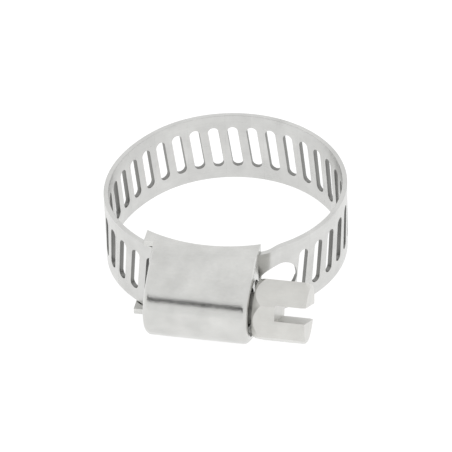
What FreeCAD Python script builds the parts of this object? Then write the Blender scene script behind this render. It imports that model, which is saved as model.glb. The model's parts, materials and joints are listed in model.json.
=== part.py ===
"""Mini worm-drive hose clamp: slotted steel band, bent sheet housing and worm screw.

Units are millimetres. The origin is on the ring axis at mid band width. +Z runs along the
ring axis, the housing is at -Y, and the screw lies parallel to X with its head towards +X.
Angles round the ring are counted from -Y towards +X.
"""
import FreeCAD
import Part
import math
import os

# Band strip
BAND_WIDTH = 8.0
BAND_THICKNESS = 0.5
RING_INNER_RADIUS = 11.5

# Layers under the worm, from the hose outwards. The saddle is flatter than the ring.
SADDLE_RADIUS = 14.0
SADDLE_CLEARANCE = 0.05
FLANGE_OUTER_RADIUS = RING_INNER_RADIUS + 0.5
FIXED_INNER_RADIUS = FLANGE_OUTER_RADIUS
LAYER_GAP = 0.06
FREE_INNER_RADIUS = FIXED_INNER_RADIUS + BAND_THICKNESS + LAYER_GAP
FREE_OUTER_RADIUS = FREE_INNER_RADIUS + BAND_THICKNESS
FREE_MID_RADIUS = FREE_INNER_RADIUS + BAND_THICKNESS / 2

# Slots that the worm turns in
SLOT_PITCH_ANGLE = 9.0
THREAD_PITCH = FREE_MID_RADIUS * math.radians(SLOT_PITCH_ANGLE)
SLOT_LENGTH = 5.0
SLOT_WIDTH = 1.1
SLOT_SLANT = 7.0
CUTTER_HEIGHT = 3.0

# Angles round the ring
FIXED_START_ANGLE = -20.0
FIXED_LEAVES_FLANGE = 28.0
FIXED_MEETS_RING = 38.0
FIXED_END_ANGLE = 53.1
FREE_TIP_ANGLE = 20.0
FREE_BACK_ANGLE = -49.5
SPIRAL_START_ANGLE = 235.0
SECTION_COUNT = 13
SLOTS_PER_SECTION = 2
CUT_GAP_ANGLE = 0.1
FREE_CUT_GAP_ANGLE = 0.5
LENGTH_STEPS = 4096
STRIP_STEP_ANGLE = 3.0
RELIEF_HOLE_ANGLE = 34.0
RELIEF_HOLE_LENGTH = 4.6
RELIEF_HOLE_HEIGHT = 3.9
RELIEF_HOLE_SLANT = 90.0

# Worm screw
THREAD_ROOT_RADIUS = 1.62
THREAD_ROOT_CLEARANCE = 0.1
SCREW_AXIS_Y = -(FREE_OUTER_RADIUS + THREAD_ROOT_RADIUS + THREAD_ROOT_CLEARANCE)
THREAD_CREST_RADIUS = 2.15
THREAD_CREST_WIDTH = 0.42
THREAD_ROOT_WIDTH = 0.68
THREAD_HALF_LENGTH = 4.0
THREAD_SINK = 0.1
JOIN_OVERLAP = 0.2
PIN_RADIUS = 1.2
SCREW_TAIL_X = -5.3
HEAD_START_X = 5.6
HEAD_END_X = 10.9
HEX_ACROSS_FLATS = 5.8
HEAD_CHAMFER = 0.55
HEAD_INNER_TAPER = 1.0
HEAD_CONE_MARGIN = 0.08
DRIVER_SLOT_WIDTH = 1.6
DRIVER_SLOT_DEPTH = 3.0
DRIVER_SLOT_ANGLE = 33.0
HEX_CORNER_ANGLE = 44.0

# Housing
HOUSING_HALF_LENGTH = 5.3
HOUSING_HALF_WIDTH = 4.75
SHEET = 0.6
SIDE_CLEARANCE = 0.12
ROOF_CLEARANCE = 0.12
SHOULDER_Y = -13.5
DOME_RADIUS = 3.65
RIM_INNER_RADIUS = 2.0
RIM_LENGTH = 0.85
RIM_ROUND = 0.7
RIM_RECESS_RADIUS = 2.85
RIM_RECESS_DEPTH = 0.35
EAR_LENGTH = 1.0
EAR_EXTRA_BELOW = 1.4
EAR_OUTER_Y = -11.8
EAR_DEPTH = 2.3
EAR_ROOT = 0.5


def ring_point(radius, angle):
    """Point at a radius and an angle counted from -Y towards +X."""
    turn = math.radians(angle)
    return FreeCAD.Vector(radius * math.sin(turn), -radius * math.cos(turn), 0)


def smooth_step(value):
    """Ease from 0 to 1 with level ends."""
    value = min(max(value, 0.0), 1.0)
    return value * value * (3 - 2 * value)


def ring_inner_radius(angle):
    """Inner radius of the strip from the fixed end, round the back, to the free end."""
    if angle < FIXED_MEETS_RING:
        share = (angle - FIXED_LEAVES_FLANGE) / (FIXED_MEETS_RING - FIXED_LEAVES_FLANGE)
        return FIXED_INNER_RADIUS + (RING_INNER_RADIUS - FIXED_INNER_RADIUS) * smooth_step(share)
    end = 360.0 + FREE_BACK_ANGLE
    share = (angle - SPIRAL_START_ANGLE) / (end - SPIRAL_START_ANGLE)
    return RING_INNER_RADIUS + (FREE_INNER_RADIUS - RING_INNER_RADIUS) * smooth_step(share)


def strip_edge(start, end, inner_radius, offset):
    """Smooth edge that follows the strip at a distance outside its inner face."""
    steps = max(2, int(abs(end - start) / STRIP_STEP_ANGLE) + 1)
    angles = [start + (end - start) * index / steps for index in range(steps + 1)]
    radii = [inner_radius(angle) + offset for angle in angles]
    if max(radii) - min(radii) < 1e-6:
        middle = (start + end) / 2
        return Part.Arc(ring_point(radii[0], start), ring_point(radii[0], middle),
                        ring_point(radii[0], end)).toShape()
    curve = Part.BSplineCurve()
    curve.interpolate([ring_point(radius, angle) for radius, angle in zip(radii, angles)])
    return curve.toShape()


def strip(start, end, inner_radius):
    """Plain piece of the band between two angles."""
    inner = strip_edge(start, end, inner_radius, 0.0)
    outer = strip_edge(start, end, inner_radius, BAND_THICKNESS)
    first = Part.makeLine(inner.Vertexes[0].Point, outer.Vertexes[0].Point)
    last = Part.makeLine(inner.Vertexes[-1].Point, outer.Vertexes[-1].Point)
    face = Part.Face(Part.Wire(Part.__sortEdges__([inner, last, outer, first])))
    face.translate(FreeCAD.Vector(0, 0, -BAND_WIDTH / 2))
    return face.extrude(FreeCAD.Vector(0, 0, BAND_WIDTH))


def obround(length, width, height, slant):
    """Slot cutter lying in the XZ plane, long along Z, cutting along Y."""
    half = (length - width) / 2
    side = width / 2
    depth = FreeCAD.Vector(0, height, 0)
    corners = [FreeCAD.Vector(-side, -height / 2, -half), FreeCAD.Vector(side, -height / 2, -half),
               FreeCAD.Vector(side, -height / 2, half), FreeCAD.Vector(-side, -height / 2, half)]
    bottom = Part.Arc(corners[0], FreeCAD.Vector(0, -height / 2, -half - side), corners[1]).toShape()
    top = Part.Arc(corners[2], FreeCAD.Vector(0, -height / 2, half + side), corners[3]).toShape()
    right = Part.makeLine(corners[1], corners[2])
    left = Part.makeLine(corners[3], corners[0])
    cutter = Part.Face(Part.Wire([bottom, right, top, left])).extrude(depth)
    cutter.rotate(FreeCAD.Vector(0, 0, 0), FreeCAD.Vector(0, 1, 0), slant)
    return cutter


def placed_on_ring(cutter, radius, angle):
    """Move a cutter made at -Y to a radius and angle on the ring."""
    moved = cutter.copy()
    moved.translate(FreeCAD.Vector(0, -radius, 0))
    moved.rotate(FreeCAD.Vector(0, 0, 0), FreeCAD.Vector(0, 0, 1), angle)
    return moved


def slotted(piece, angles, inner_radius):
    """Cut the slanted slots at the given angles out of a piece of the band."""
    cutter = obround(SLOT_LENGTH, SLOT_WIDTH, CUTTER_HEIGHT, SLOT_SLANT)
    for angle in angles:
        piece = piece.cut(placed_on_ring(cutter, inner_radius(angle), angle))
    return piece


def rounded_relief_hole(piece):
    """Cut the oblong relief hole beside the housing out of the fixed end."""
    cutter = obround(RELIEF_HOLE_LENGTH, RELIEF_HOLE_HEIGHT, CUTTER_HEIGHT, RELIEF_HOLE_SLANT)
    return piece.cut(placed_on_ring(cutter, RING_INNER_RADIUS, RELIEF_HOLE_ANGLE))


def make_band_fixed_end():
    piece = strip(FIXED_START_ANGLE, FIXED_END_ANGLE - CUT_GAP_ANGLE, ring_inner_radius)
    piece = rounded_relief_hole(piece)
    half_pitch = math.degrees(THREAD_PITCH / (RING_INNER_RADIUS + BAND_THICKNESS / 2)) / 2
    return slotted(piece, [FIXED_END_ANGLE - half_pitch], ring_inner_radius)


def free_inner_radius(angle):
    """The free end lies on one arc centred on the ring axis."""
    return FREE_INNER_RADIUS


def make_band_free_end():
    tongue = strip(FREE_BACK_ANGLE, FREE_TIP_ANGLE, free_inner_radius)
    behind = int(-FREE_BACK_ANGLE / SLOT_PITCH_ANGLE)
    ahead = int(FREE_TIP_ANGLE / SLOT_PITCH_ANGLE)
    angles = [index * SLOT_PITCH_ANGLE for index in range(-behind, ahead + 1)]
    return slotted(tongue, angles, free_inner_radius)


def ring_stations():
    """Angles round the ring half a slot pitch apart along the strip: a bar, a slot, a bar and so on."""
    end = 360.0 + FREE_BACK_ANGLE
    angles = [FIXED_END_ANGLE + (end - FIXED_END_ANGLE) * index / LENGTH_STEPS
              for index in range(LENGTH_STEPS + 1)]
    lengths = [0.0]
    for before, after in zip(angles, angles[1:]):
        radius = ring_inner_radius((before + after) / 2) + BAND_THICKNESS / 2
        lengths.append(lengths[-1] + radius * math.radians(after - before))
    count = 2 * SECTION_COUNT * SLOTS_PER_SECTION
    stations = []
    for index in range(count + 1):
        wanted = lengths[-1] * index / count
        nearest = min(range(LENGTH_STEPS + 1), key=lambda step: abs(lengths[step] - wanted))
        stations.append(angles[nearest])
    return stations


def make_band_section(stations, last):
    """Short stretch of the ring between the middles of two bars."""
    gap = FREE_CUT_GAP_ANGLE if last else CUT_GAP_ANGLE
    piece = strip(stations[0], stations[-1] - gap, ring_inner_radius)
    return slotted(piece, stations[1::2], ring_inner_radius)


def disc(radius, start, end):
    """Round bar along the screw axis between two x positions."""
    return Part.makeCylinder(radius, end - start, FreeCAD.Vector(start, SCREW_AXIS_Y, 0),
                             FreeCAD.Vector(1, 0, 0))


def make_thread():
    """Right-handed worm thread swept round the core and cut square at both ends."""
    turns = math.ceil(2 * THREAD_HALF_LENGTH / THREAD_PITCH) + 2
    length = turns * THREAD_PITCH
    sunk = THREAD_ROOT_RADIUS - THREAD_SINK
    helix = Part.makeHelix(THREAD_PITCH, length, sunk)
    root = THREAD_ROOT_WIDTH / 2
    crest = THREAD_CREST_WIDTH / 2
    corners = [FreeCAD.Vector(sunk, 0, -root), FreeCAD.Vector(THREAD_CREST_RADIUS, 0, -crest),
               FreeCAD.Vector(THREAD_CREST_RADIUS, 0, crest), FreeCAD.Vector(sunk, 0, root)]
    profile = Part.makePolygon(corners + corners[:1])
    ridge = Part.Wire(helix.Edges).makePipeShell([profile], True, True)
    ridge.translate(FreeCAD.Vector(0, 0, -length / 2))
    return ridge, length


def make_worm_screw():
    ridge, length = make_thread()
    spare = THREAD_PITCH
    start = FreeCAD.Vector(0, 0, -length / 2 - spare)
    core = Part.makeCylinder(THREAD_ROOT_RADIUS, length + 2 * spare, start)
    worm = core.fuse(ridge)
    # The helix starts on +X; after the axis is laid along X the start must face the band at +Y.
    half_turns = length / THREAD_PITCH / 2
    worm.rotate(FreeCAD.Vector(0, 0, 0), FreeCAD.Vector(0, 0, 1), -360.0 * half_turns)
    worm.rotate(FreeCAD.Vector(0, 0, 0), FreeCAD.Vector(0, 0, 1), 90.0)
    worm.rotate(FreeCAD.Vector(0, 0, 0), FreeCAD.Vector(0, 1, 0), 90.0)
    worm.translate(FreeCAD.Vector(0, SCREW_AXIS_Y, 0))
    worm = worm.common(disc(THREAD_CREST_RADIUS + 1.0, -THREAD_HALF_LENGTH, THREAD_HALF_LENGTH))
    tail = disc(PIN_RADIUS, SCREW_TAIL_X, -THREAD_HALF_LENGTH + JOIN_OVERLAP)
    neck = disc(THREAD_ROOT_RADIUS, THREAD_HALF_LENGTH - JOIN_OVERLAP, HEAD_START_X + JOIN_OVERLAP)
    return worm.fuse([tail, neck, make_head()]).removeSplitter()


def make_head():
    corner_radius = HEX_ACROSS_FLATS / 2 / math.cos(math.radians(30))
    corners = []
    for index in range(7):
        turn = math.radians(HEX_CORNER_ANGLE + 60 * index)
        corners.append(FreeCAD.Vector(HEAD_START_X, SCREW_AXIS_Y - corner_radius * math.cos(turn),
                                      corner_radius * math.sin(turn)))
    length = HEAD_END_X - HEAD_START_X
    head = Part.Face(Part.makePolygon(corners)).extrude(FreeCAD.Vector(length, 0, 0))
    start = FreeCAD.Vector(HEAD_START_X, SCREW_AXIS_Y, 0)
    along = FreeCAD.Vector(1, 0, 0)
    small = HEX_ACROSS_FLATS / 2 - HEAD_CONE_MARGIN
    large = corner_radius + HEAD_CONE_MARGIN
    taper = Part.makeCone(small, large, HEAD_INNER_TAPER, start, along)
    middle = Part.makeCylinder(large, length - HEAD_INNER_TAPER - HEAD_CHAMFER,
                               start + FreeCAD.Vector(HEAD_INNER_TAPER, 0, 0), along)
    nose = Part.makeCone(large, small, HEAD_CHAMFER,
                        start + FreeCAD.Vector(length - HEAD_CHAMFER, 0, 0), along)
    head = head.common(taper.fuse([middle, nose]))
    reach = 2 * corner_radius
    slot = Part.makeBox(DRIVER_SLOT_DEPTH + 1.0, reach + 1.0, DRIVER_SLOT_WIDTH,
                        FreeCAD.Vector(HEAD_END_X - DRIVER_SLOT_DEPTH,
                                       SCREW_AXIS_Y - reach / 2 - 0.5, -DRIVER_SLOT_WIDTH / 2))
    slot.rotate(start, along, -DRIVER_SLOT_ANGLE)
    return head.cut(slot)


def housing_outline(inset):
    """Closed YZ outline of the housing: straight sides, sloping shoulders and a round dome."""
    radius = DOME_RADIUS - inset
    side = HOUSING_HALF_WIDTH - inset
    shoulder = SHOULDER_Y
    gap_y = shoulder - SCREW_AXIS_Y
    reach = math.hypot(gap_y, side)
    turn = math.atan2(side, gap_y) + math.acos(radius / reach)
    touch = FreeCAD.Vector(0, SCREW_AXIS_Y + radius * math.cos(turn), radius * math.sin(turn))
    far = FreeCAD.Vector(0, SCREW_AXIS_Y - radius, 0)
    low_touch = FreeCAD.Vector(0, touch.y, -touch.z)
    top = FreeCAD.Vector(0, shoulder, side)
    bottom = FreeCAD.Vector(0, shoulder, -side)
    inside_y = -RING_INNER_RADIUS / 2
    top_in = FreeCAD.Vector(0, inside_y, side)
    bottom_in = FreeCAD.Vector(0, inside_y, -side)
    edges = [Part.makeLine(top_in, top), Part.makeLine(top, touch),
             Part.Arc(touch, far, low_touch).toShape(), Part.makeLine(low_touch, bottom),
             Part.makeLine(bottom, bottom_in), Part.makeLine(bottom_in, top_in)]
    return Part.Face(Part.Wire(edges))


def housing_block(inset, start, end):
    """Housing outline swept along the screw between two x positions."""
    face = housing_outline(inset)
    face.translate(FreeCAD.Vector(start, 0, 0))
    return face.extrude(FreeCAD.Vector(end - start, 0, 0))


def ring_cylinder(radius, centre_y=0.0):
    """Tall cylinder along the ring axis, used to cut."""
    return Part.makeCylinder(radius, 4 * BAND_WIDTH, FreeCAD.Vector(0, centre_y, -2 * BAND_WIDTH))


def end_edges(shape):
    """Edges round the cover's two ends, apart from those at the saddle."""
    edges = []
    for edge in shape.Edges:
        box = edge.BoundBox
        at_end = box.XLength < 1e-6 and abs(abs(box.XMin) - HOUSING_HALF_LENGTH) < 1e-6
        if at_end and box.YMax <= SHOULDER_Y + 1e-6:
            edges.append(edge)
    return edges


def make_housing():
    """Bent sheet with a saddle against the hose, two side walls and a domed worm cover."""
    half = HOUSING_HALF_LENGTH
    shell = housing_block(0.0, -half, half)
    shell = shell.makeFillet(RIM_ROUND, end_edges(shell))
    # The hollow leaves an end wall at each end, which keeps the worm in place.
    hollow = housing_block(SHEET, -half + RIM_LENGTH, half - RIM_LENGTH)
    shell = shell.cut(hollow.cut(ring_cylinder(FLANGE_OUTER_RADIUS)))
    # Passage for both band layers, open at both ends.
    tall = BAND_WIDTH / 2 + SIDE_CLEARANCE
    passage = Part.makeCylinder(FREE_OUTER_RADIUS + ROOF_CLEARANCE, 2 * tall, FreeCAD.Vector(0, 0, -tall))
    passage = passage.cut(ring_cylinder(FLANGE_OUTER_RADIUS))
    shell = shell.cut(passage)
    shell = shell.cut(disc(RIM_INNER_RADIUS, -half - 1.0, half + 1.0))
    # The curled rims stand a little proud of the end walls.
    shell = shell.cut(disc(RIM_RECESS_RADIUS, half - RIM_RECESS_DEPTH, half + 1.0))
    shell = shell.cut(disc(RIM_RECESS_RADIUS, -half - 1.0, -half + RIM_RECESS_DEPTH))
    shell = shell.fuse(make_ears())
    saddle_centre_y = SADDLE_RADIUS - RING_INNER_RADIUS - SADDLE_CLEARANCE
    return shell.cut(ring_cylinder(SADDLE_RADIUS, saddle_centre_y)).removeSplitter()


def make_ears():
    """Guide tabs that run on from the saddle at the end where the free band enters."""
    ears = []
    for side, extra in ((1, 0.0), (-1, EAR_EXTRA_BELOW)):
        inner = BAND_WIDTH / 2 + SIDE_CLEARANCE
        thickness = HOUSING_HALF_WIDTH - inner
        low = inner if side > 0 else -HOUSING_HALF_WIDTH
        length = EAR_LENGTH + extra
        ear = Part.makeBox(length + EAR_ROOT, EAR_DEPTH, thickness,
                           FreeCAD.Vector(-HOUSING_HALF_LENGTH - length, EAR_OUTER_Y, low))
        ears.append(ear)
    return ears


def main():
    os.makedirs("parts", exist_ok=True)
    pieces = {
        "housing": make_housing(),
        "band_fixed_end": make_band_fixed_end(),
        "band_free_end": make_band_free_end(),
        "worm_screw": make_worm_screw(),
    }
    stations = ring_stations()
    for index in range(SECTION_COUNT):
        steps = 2 * SLOTS_PER_SECTION
        own_stations = stations[index * steps:(index + 1) * steps + 1]
        last = index == SECTION_COUNT - 1
        pieces["band_section_%02d" % (index + 1)] = make_band_section(own_stations, last)
    for name, shape in pieces.items():
        if len(shape.Solids) != 1 or not shape.isValid():
            raise RuntimeError("%s is not one valid solid: %d" % (name, len(shape.Solids)))
        shape.Solids[0].exportStep("parts/%s.step" % name)


main()
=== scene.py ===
"""Stainless mini worm-drive hose clamp: materials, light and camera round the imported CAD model.

Everything is in metres in the part's own frame: the ring axis is Z, the housing is at -Y and the
screw runs along X. The CAD pieces keep their shape; they get rounded edges and worked steel.
"""
import json
import math

import bmesh
import bpy
from mathutils import Matrix, Vector


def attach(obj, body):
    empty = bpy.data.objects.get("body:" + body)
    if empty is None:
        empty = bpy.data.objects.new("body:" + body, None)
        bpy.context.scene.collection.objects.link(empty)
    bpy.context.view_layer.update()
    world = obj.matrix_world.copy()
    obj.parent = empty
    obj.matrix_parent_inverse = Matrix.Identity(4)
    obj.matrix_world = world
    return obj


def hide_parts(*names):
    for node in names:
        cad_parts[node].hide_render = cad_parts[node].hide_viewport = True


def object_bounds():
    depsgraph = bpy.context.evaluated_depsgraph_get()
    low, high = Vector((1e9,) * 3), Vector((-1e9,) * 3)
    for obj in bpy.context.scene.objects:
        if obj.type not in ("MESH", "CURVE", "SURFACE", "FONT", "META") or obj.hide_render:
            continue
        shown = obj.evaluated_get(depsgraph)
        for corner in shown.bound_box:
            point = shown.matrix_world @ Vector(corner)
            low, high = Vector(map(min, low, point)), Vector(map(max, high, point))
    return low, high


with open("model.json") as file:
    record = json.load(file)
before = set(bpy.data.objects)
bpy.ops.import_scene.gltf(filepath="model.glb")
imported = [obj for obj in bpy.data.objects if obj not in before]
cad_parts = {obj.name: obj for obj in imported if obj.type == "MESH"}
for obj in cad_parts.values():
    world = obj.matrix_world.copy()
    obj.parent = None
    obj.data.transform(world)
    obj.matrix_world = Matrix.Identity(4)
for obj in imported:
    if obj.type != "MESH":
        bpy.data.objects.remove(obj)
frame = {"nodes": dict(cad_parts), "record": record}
cad_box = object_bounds()

MILLIMETRE = 0.001

# Camera: nearly parallel view from the front right and above
CAMERA_AZIMUTH = math.radians(12.4)
CAMERA_ELEVATION = math.radians(37.6)
CAMERA_ROLL = math.radians(1.93)
CAMERA_DISTANCE = 0.384
CAMERA_SENSOR = 36.0
CAMERA_LENS = 299.0
CAMERA_AIM = Vector((-0.00029, -0.00087, -0.00101))

# Rounded edges of the sheet and of the machined screw
BAND_EDGE_ROUND = 0.05 * MILLIMETRE
HOUSING_EDGE_ROUND = 0.08 * MILLIMETRE
SCREW_EDGE_ROUND = 0.08 * MILLIMETRE
SHARP_EDGE_ANGLE = math.radians(28)
WELD_DISTANCE = 1e-7
BEVEL_SEGMENTS = 2

# The band is one strip on the real clamp, so its pieces are stretched over nearly all of the gaps
# between them. The rest is too narrow to see, and leaves room for their slight shift as they swing.
CUT_GAP = math.radians(0.08)
FREE_CUT_GAP = math.radians(0.45)
CUT_TOLERANCE = math.radians(0.03)

# How far a face looks outwards from the ring axis tells the inner and outer faces from the slot
# walls. The strip's rims lie outside the rim height.
ROUND_FACING = 0.8
WALL_FACING = 0.6
BAND_RIM_HEIGHT = 3.8 * MILLIMETRE
BAND_MIDDLE_RADIUS = 12.0 * MILLIMETRE

# Steel: noise scales per metre along each axis, tone and roughness changes, height of the bumps
BAND_GRAIN = (150.0, 150.0, 9000.0)
SHEARED_GRAIN = (4000.0, 4000.0, 400.0)
HOUSING_GRAIN = (1800.0, 6000.0, 6000.0)
SCREW_GRAIN = (1500.0, 4000.0, 4000.0)
STAIN_SCALE = (400.0, 400.0, 400.0)
SPECK_SCALE = (9000.0, 9000.0, 9000.0)
STAIN_TONE = (0.80, 1.18)
GRAIN_TONE = 0.05
ROUGHNESS_CHANGE = 0.05
SPECK_SHARE = 0.6
BUMP_STRENGTH = 0.5

# Steel colours
BAND_COLOUR = (0.635, 0.635, 0.622)
HOUSING_COLOUR = (0.645, 0.645, 0.628)
SCREW_COLOUR = (0.64, 0.635, 0.61)
# Slot walls: the sheared steel's own duller tone, made far darker as painted shade inside the slots
SHEARED_WALL_AND_SHADE_COLOUR = (0.27, 0.27, 0.262)

# White surroundings with one dark card on the camera's side
SKY_STRENGTH = 1.0
FLOOR_COLOUR = 0.2
FLOOR_GLOW = 0.9
FLOOR_SIZE = 3.0
CARD_DISTANCE = 0.30
CARD_AZIMUTH = math.radians(-12.0)
CARD_ELEVATION = math.radians(31.5)
CARD_WIDTH = 0.5
CARD_HEIGHT = 0.07
CARD_COLOUR = 0.03


def direction(azimuth, elevation):
    """Unit vector from the ring towards a place seen from -Y, turned towards +X."""
    flat = math.cos(elevation)
    return Vector((flat * math.sin(azimuth), -flat * math.cos(azimuth), math.sin(elevation)))


class Nodes:
    """Small helper that adds and links shader nodes of one material."""

    def __init__(self, material):
        material.use_nodes = True
        self.tree = material.node_tree
        self.tree.nodes.clear()

    def add(self, kind, **inputs):
        node = self.tree.nodes.new(kind)
        for name, value in inputs.items():
            socket = node.inputs[name.replace("_", " ")]
            if isinstance(value, bpy.types.NodeSocket):
                self.tree.links.new(value, socket)
            else:
                socket.default_value = value
        return node

    def math(self, operation, first, second=0.0):
        node = self.tree.nodes.new("ShaderNodeMath")
        node.operation = operation
        for socket, value in zip(node.inputs, (first, second)):
            if isinstance(value, bpy.types.NodeSocket):
                self.tree.links.new(value, socket)
            else:
                socket.default_value = value
        return node.outputs[0]

    def scaled(self, vector, scale):
        node = self.add("ShaderNodeMapping", Vector=vector)
        node.inputs["Scale"].default_value = scale
        return node.outputs[0]

    def noise(self, point, scale, detail, roughness):
        return self.add("ShaderNodeTexNoise", Vector=self.scaled(point, scale), Scale=1.0,
                        Detail=detail, Roughness=roughness).outputs[0]

    def ramp(self, value, low, high):
        node = self.add("ShaderNodeMapRange", Value=value)
        node.inputs["To Min"].default_value = low
        node.inputs["To Max"].default_value = high
        return node.outputs[0]


def strip_coordinates(nodes, point):
    """Length along the ring, radius and height, so that grain follows the bent strip."""
    split = nodes.add("ShaderNodeSeparateXYZ", Vector=point)
    x, y, z = split.outputs
    angle = nodes.math("ARCTAN2", x, nodes.math("MULTIPLY", y, -1.0))
    along = nodes.math("MULTIPLY", angle, BAND_MIDDLE_RADIUS)
    radius = nodes.math("SQRT", nodes.math("ADD", nodes.math("MULTIPLY", x, x), nodes.math("MULTIPLY", y, y)))
    join = nodes.tree.nodes.new("ShaderNodeCombineXYZ")
    for socket, value in zip(join.inputs, (along, radius, z)):
        nodes.tree.links.new(value, socket)
    return join.outputs[0]


def make_steel(name, colour, roughness, grain_scale, grain_height, follows_strip):
    """Rolled or machined stainless steel with fine grain, faint stains and tiny scratches."""
    material = bpy.data.materials.new(name)
    nodes = Nodes(material)
    point = nodes.add("ShaderNodeTexCoord").outputs["Object"]
    if follows_strip:
        point = strip_coordinates(nodes, point)
    grain = nodes.noise(point, grain_scale, 6.0, 0.6)
    stain = nodes.noise(point, STAIN_SCALE, 4.0, 0.55)
    speck = nodes.noise(point, SPECK_SCALE, 2.0, 0.5)
    tone = nodes.math("ADD", nodes.ramp(stain, *STAIN_TONE), nodes.ramp(grain, -GRAIN_TONE, GRAIN_TONE))
    mix = nodes.add("ShaderNodeMix")
    mix.data_type = "RGBA"
    mix.blend_type = "MULTIPLY"
    mix.inputs["Factor"].default_value = 1.0
    colour_in = [socket for socket in mix.inputs if socket.type == "RGBA"]
    colour_in[0].default_value = (*colour, 1.0)
    nodes.tree.links.new(tone, colour_in[1])
    colour_out = [socket for socket in mix.outputs if socket.type == "RGBA"][0]
    rough = nodes.math("ADD", nodes.ramp(stain, roughness - ROUGHNESS_CHANGE, roughness + ROUGHNESS_CHANGE),
                       nodes.ramp(grain, -ROUGHNESS_CHANGE, ROUGHNESS_CHANGE))
    height = nodes.math("ADD", grain, nodes.math("MULTIPLY", speck, SPECK_SHARE))
    bump = nodes.add("ShaderNodeBump", Height=height, Strength=BUMP_STRENGTH, Distance=grain_height)
    shader = nodes.add("ShaderNodeBsdfPrincipled", Base_Color=colour_out, Roughness=rough,
                       Normal=bump.outputs[0], Metallic=1.0)
    nodes.add("ShaderNodeOutputMaterial", Surface=shader.outputs[0])
    return material


def plain(name, value, glow=0.0):
    """Matt material for the floor and the card."""
    material = bpy.data.materials.new(name)
    nodes = Nodes(material)
    shader = nodes.add("ShaderNodeBsdfPrincipled", Roughness=1.0)
    shader.inputs["Base Color"].default_value = (value, value, value, 1.0)
    shader.inputs["Specular IOR Level"].default_value = 0.0
    shader.inputs["Emission Color"].default_value = (1.0, 1.0, 1.0, 1.0)
    shader.inputs["Emission Strength"].default_value = glow
    nodes.add("ShaderNodeOutputMaterial", Surface=shader.outputs[0])
    return material


def dress(node, material, edge_round):
    """Give a CAD piece its steel and a fine rounded edge."""
    piece = frame["nodes"][node]
    for slot in piece.material_slots:
        slot.material = material
    if not piece.material_slots:
        piece.data.materials.append(material)
    bevel = piece.modifiers.new("rounded edges", "BEVEL")
    bevel.width = edge_round
    bevel.segments = BEVEL_SEGMENTS
    bevel.limit_method = "ANGLE"
    bevel.angle_limit = SHARP_EDGE_ANGLE
    bevel.harden_normals = True
    bevel.use_clamp_overlap = True


def make_plane(name, centre, facing, width, height, material):
    """Flat rectangle facing a direction."""
    corners = [(side * width / 2, end * height / 2, 0) for side, end in ((-1, -1), (1, -1), (1, 1), (-1, 1))]
    mesh = bpy.data.meshes.new(name)
    mesh.from_pydata(corners, [], [(0, 1, 2, 3)])
    mesh.materials.append(material)
    plane = bpy.data.objects.new(name, mesh)
    turn = facing.to_track_quat("Z", "Y")
    plane.matrix_world = Matrix.Translation(centre) @ turn.to_matrix().to_4x4()
    bpy.context.scene.collection.objects.link(plane)
    return plane


def build_surroundings():
    """Bright even light all round, a pale floor and a dark card that the dome mirrors."""
    world = bpy.data.worlds.new("white studio")
    world.use_nodes = True
    background = world.node_tree.nodes["Background"]
    background.inputs["Color"].default_value = (1.0, 1.0, 1.0, 1.0)
    background.inputs["Strength"].default_value = SKY_STRENGTH
    bpy.context.scene.world = world
    lowest = cad_box[0][2]
    floor = plain("pale floor", FLOOR_COLOUR, glow=FLOOR_GLOW)
    make_plane("floor", Vector((0, 0, lowest)), Vector((0, 0, 1)), FLOOR_SIZE, FLOOR_SIZE, floor)
    card_way = direction(CARD_AZIMUTH, CARD_ELEVATION)
    card = make_plane("dark_card", card_way * CARD_DISTANCE, -card_way, CARD_WIDTH, CARD_HEIGHT,
                      plain("dark card", CARD_COLOUR))
    card.visible_camera = False
    card.visible_shadow = False
    card.visible_diffuse = False
    bpy.context.scene.view_settings.view_transform = "Standard"


def build_camera():
    """Long-lens camera, turned a little about its own view axis."""
    camera = bpy.data.cameras.new("camera")
    camera.lens = CAMERA_LENS
    camera.sensor_width = CAMERA_SENSOR
    camera.clip_start = 0.01
    holder = bpy.data.objects.new("camera", camera)
    back = direction(CAMERA_AZIMUTH, CAMERA_ELEVATION)
    turn = back.to_track_quat("Z", "Y").to_matrix().to_4x4()
    roll = Matrix.Rotation(-CAMERA_ROLL, 4, "Z")
    holder.matrix_world = Matrix.Translation(CAMERA_AIM + back * CAMERA_DISTANCE) @ turn @ roll
    bpy.context.scene.collection.objects.link(holder)
    bpy.context.scene.camera = holder


def ring_angle(point, near):
    """Angle round the ring of a point, counted from -Y towards +X and close to another angle."""
    angle = math.atan2(point.x, -point.y)
    while angle < near - math.pi:
        angle += 2 * math.pi
    while angle > near + math.pi:
        angle -= 2 * math.pi
    return angle


def is_slot_wall(face):
    """True for the sheared walls of the slots and the relief hole, which get the darker steel whose colour is
    painted shade.
    """
    centre = face.calc_center_median()
    outward = Vector((centre.x, centre.y, 0)).normalized()
    inside_width = abs(centre.z) < BAND_RIM_HEIGHT
    return inside_width and abs(face.normal.dot(outward)) < WALL_FACING


def end_vertices(mesh):
    """Vertices at the first and the last ring angle of a piece."""
    middle = sum((vert.co for vert in mesh.verts), Vector()) / len(mesh.verts)
    near = math.atan2(middle.x, -middle.y)
    angles = {vert: ring_angle(vert.co, near) for vert in mesh.verts}
    first = min(angles.values()) + CUT_TOLERANCE
    last = max(angles.values()) - CUT_TOLERANCE
    return ({vert for vert, angle in angles.items() if angle < first},
            {vert for vert, angle in angles.items() if angle > last})


def cut_vertices(mesh, start_is_cut, gap):
    """Vertices at the ends where the strip runs on into a neighbouring piece."""
    first, last = end_vertices(mesh)
    cut = set()
    if start_is_cut:
        cut |= first
    if gap:
        cut |= last
    return cut


def close_the_cuts(mesh, start_is_cut, gap):
    """Stretch the piece over the gap to the next one and return its vertices at the cuts."""
    last = end_vertices(mesh)[1]
    cut = cut_vertices(mesh, start_is_cut, gap)
    if gap:
        turn = Matrix.Rotation(gap, 3, "Z")
        for vert in last:
            vert.co = turn @ vert.co
    return cut


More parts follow.
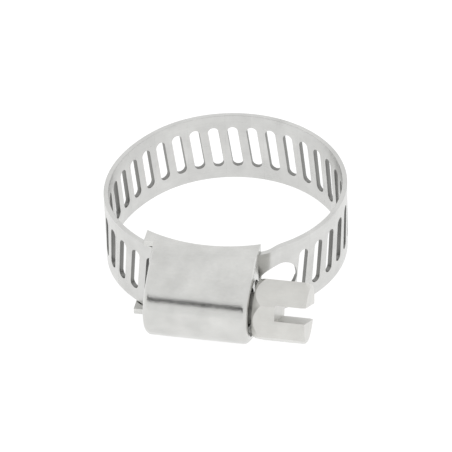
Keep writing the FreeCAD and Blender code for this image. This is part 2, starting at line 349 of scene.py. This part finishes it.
def turned_on(face, vert):
    """A facet's normal turned round the ring to a vertex, where the next piece's facet meets it."""
    near = math.atan2(vert.co.x, -vert.co.y)
    angles = [ring_angle(corner.co, near) for corner in face.verts]
    onward = near - (min(angles) + max(angles)) / 2
    return Matrix.Rotation(onward, 3, "Z") @ face.normal


def strip_normals(mesh, cut):
    """Vertex normals that keep flat faces flat and run smoothly on from piece to piece."""
    normals = []
    for vert in mesh.verts:
        outward = Vector((vert.co.x, vert.co.y, 0)).normalized()
        faces = [face for face in vert.link_faces if not cut.issuperset(face.verts)]
        inner_or_outer = [face for face in faces if abs(face.normal.dot(outward)) > ROUND_FACING]
        total = Vector()
        for face in inner_or_outer or faces:
            normal = turned_on(face, vert) if vert in cut else face.normal
            total += normal * face.calc_area()
        normals.append(total.normalized())
    return normals


def build_band_piece(node, body, rolled, sheared_and_shaded, start_is_cut, gap):
    """Stretch of the strip with rounded edges and sheared slot walls, joined to its neighbours; the walls'
    dark colour is painted shade.
    """
    mesh = bmesh.new()
    mesh.from_mesh(frame["nodes"][node].data)
    bmesh.ops.remove_doubles(mesh, verts=mesh.verts[:], dist=WELD_DISTANCE)
    cut = close_the_cuts(mesh, start_is_cut, gap)
    edges = [edge for edge in mesh.edges if edge.is_manifold and edge.calc_face_angle() > SHARP_EDGE_ANGLE
             and not (edge.verts[0] in cut and edge.verts[1] in cut)]
    bmesh.ops.bevel(mesh, geom=edges, offset=BAND_EDGE_ROUND, offset_type="OFFSET",
                    segments=BEVEL_SEGMENTS, profile=0.5, affect="EDGES", clamp_overlap=True)
    mesh.normal_update()
    ends = cut_vertices(mesh, start_is_cut, gap)
    for face in mesh.faces:
        face.smooth = True
        # slot walls take the second material, whose dark colour is painted shade
        face.material_index = 1 if is_slot_wall(face) else 0
    normals = strip_normals(mesh, ends)
    data = bpy.data.meshes.new(node + "_strip")
    mesh.to_mesh(data)
    mesh.free()
    data.normals_split_custom_set_from_vertices(normals)
    data.materials.append(rolled)
    data.materials.append(sheared_and_shaded)
    piece = bpy.data.objects.new(node + "_strip", data)
    bpy.context.scene.collection.objects.link(piece)
    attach(piece, body)
    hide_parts(node)
    return piece


def body_of_node(node):
    """Name of the body that holds a CAD node."""
    bodies = frame["record"]["behaviour"]["bodies"]
    return next(body for body, held in bodies.items() if node in held)


def dress_pieces():
    """Steel for the housing and the screw, and the band rebuilt as one continuous strip."""
    band = make_steel("rolled band steel", BAND_COLOUR, 0.30, BAND_GRAIN, 4e-6, True)
    # slot wall steel: partly its own sheared finish, partly painted shade of the recesses
    sheared_and_shaded = make_steel("sheared edge steel with painted shade", SHEARED_WALL_AND_SHADE_COLOUR, 0.42, SHEARED_GRAIN, 6e-6, True)
    sheet = make_steel("pressed housing steel", HOUSING_COLOUR, 0.22, HOUSING_GRAIN, 1.2e-5, False)
    machined = make_steel("machined screw steel", SCREW_COLOUR, 0.33, SCREW_GRAIN, 4e-6, False)
    sections = sorted(node for node in frame["nodes"] if node.startswith("band_section_"))
    for node in sections:
        gap = FREE_CUT_GAP if node == sections[-1] else CUT_GAP
        build_band_piece(node, body_of_node(node), band, sheared_and_shaded, True, gap)
    build_band_piece("band_fixed_end", body_of_node("band_fixed_end"), band, sheared_and_shaded, False, CUT_GAP)
    build_band_piece("band_free_end", body_of_node("band_free_end"), band, sheared_and_shaded, True, 0.0)
    dress("housing", sheet, HOUSING_EDGE_ROUND)
    dress("worm_screw", machined, SCREW_EDGE_ROUND)


build_camera()
build_surroundings()
dress_pieces()
